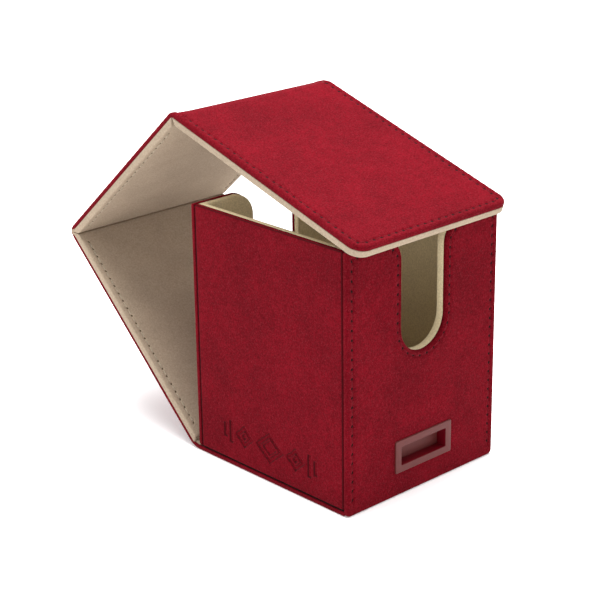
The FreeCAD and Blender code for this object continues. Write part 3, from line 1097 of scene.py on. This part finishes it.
def fold_fabrics():
    """The three folds, from the tray's floor to the flap."""
    floor_out = Plane(Vector((0, 0, OUTER_PLY)), Vector((1, 0, 0)), Vector((0, 1, 0)), Vector((0, 0, -1)))
    both = (FOLD_CLEAR, FOLD_CLEAR)
    fold_fabric("tray_hinge", floor_out, BACK_OUT, 6.4, (TRAY_HINGE.y - HALF_DEPTH, HINGE_CLEAR))
    fold_fabric("rear_fold", BACK_OUT, TOP_OUT, 0.7, both,
                sag=0.1, pinch=0.25, backing_inset=0.15)
    fold_fabric("front_fold", TOP_OUT, FLAP_OUT, 2.4, both, sag=0.85)


def lid():
    """Covers, linings, stitches and fold fabrics of the three panels."""
    flat_panel("lid_back", BACK_OUT, HINGE_CLEAR, BACK_LENGTH - FOLD_CLEAR, "back_panel")
    flat_panel("lid_top", TOP_OUT, FOLD_CLEAR, TOP_LENGTH - FOLD_CLEAR, "top_panel")
    flap_panel()
    lid_linings()
    fold_fabrics()


# ------------------------------------------------------------------ carried-over CAD parts
def dress_cad_nodes():
    """Give every CAD node a finish; the keeper has the bezel's, so no bare metal shows."""
    finishes = {"board": BOARD, "bezel": BEZEL, "catch_steel": STEEL, "suede": SUEDE, "lining": LINING}
    slots = {s["node"]: s["material_slot"] for s in frame["record"]["subparts"]}
    for name, node in frame["nodes"].items():
        finish = BEZEL if name == "latch_keeper" else finishes[slots[name]]
        node.data.materials.clear()
        node.data.materials.append(finish)


# ------------------------------------------------------------------ floor, light and camera
def add_floor():
    mesh = bpy.data.meshes.new("floor")
    reach = 4.0           # metres
    mesh.from_pydata([(-reach, -reach, 0), (reach, -reach, 0), (reach, reach, 0), (-reach, reach, 0)],
                     [], [(0, 1, 2, 3)])
    floor = bpy.data.objects.new("floor", mesh)
    bpy.context.scene.collection.objects.link(floor)
    material, _, shader = new_material("floor_white", 0.7)
    shader.inputs["Base Color"].default_value = (0.93, 0.93, 0.93, 1)
    shader.inputs["Emission Color"].default_value = (1, 1, 1, 1)
    shader.inputs["Emission Strength"].default_value = 0.18   # a faintly lit table softens the shadow
    mesh.materials.append(material)


def add_softbox(name, place, target, size, power):
    """Square area light aimed at a point."""
    light = bpy.data.lights.new(name, "AREA")
    light.shape = "SQUARE"
    light.size = size
    light.energy = power
    lamp = bpy.data.objects.new(name, light)
    lamp.location = place
    lamp.rotation_euler = (Vector(place) - Vector(target)).to_track_quat("Z", "Y").to_euler()
    bpy.context.scene.collection.objects.link(lamp)


def add_light():
    world = bpy.data.worlds.new("studio")
    world.use_nodes = True
    background = world.node_tree.nodes["Background"]
    background.inputs["Color"].default_value = (1, 1, 1, 1)
    background.inputs["Strength"].default_value = 1.0
    bpy.context.scene.world = world
    add_softbox("top_softbox", place=(0.1, 0.15, 1.2), target=(0, 0.03, 0.06), size=0.9, power=27)


CAMERA_AZIMUTH = -42.938      # degrees; 0 looks along +Y
CAMERA_HEIGHT_ANGLE = 20.329
CAMERA_ROLL = -0.795
CAMERA_DISTANCE = 0.6665
CAMERA_SHIFT = (-0.0166, 0.01156)   # sideways and up, in metres
CAMERA_LENS = 106.13


def add_camera():
    azimuth = math.radians(CAMERA_AZIMUTH)
    tilt = math.radians(CAMERA_HEIGHT_ANGLE)
    roll = math.radians(CAMERA_ROLL)
    back = Vector((math.sin(azimuth) * math.cos(tilt), -math.cos(azimuth) * math.cos(tilt), math.sin(tilt)))
    level = (-back).cross(Vector((0, 0, 1))).normalized()
    upright = level.cross(-back)
    right = math.cos(roll) * level + math.sin(roll) * upright
    up = -math.sin(roll) * level + math.cos(roll) * upright
    target = Vector((0, 0, HEIGHT / 2 * MM))
    place = target + back * CAMERA_DISTANCE + right * CAMERA_SHIFT[0] + up * CAMERA_SHIFT[1]
    data = bpy.data.cameras.new("camera")
    data.lens = CAMERA_LENS
    data.sensor_width = 36
    camera = bpy.data.objects.new("camera", data)
    turn = Matrix((right, up, back)).transposed().to_4x4()
    camera.matrix_world = Matrix.Translation(place) @ turn
    bpy.context.scene.collection.objects.link(camera)
    bpy.context.scene.camera = camera


# ------------------------------------------------------------------ the whole scene
dress_cad_nodes()
front = notched_wall("front", FRONT, 0.0)
cut_recess(front)
notched_wall("back", BACK, OUTER_PLY)
side_wall("left", LEFT)
side_wall("right", RIGHT)
tray_linings()
floor_cover()
latch_bezel()
lid()
add_floor()
add_light()
add_camera()
bpy.context.scene.view_settings.view_transform = "Standard"
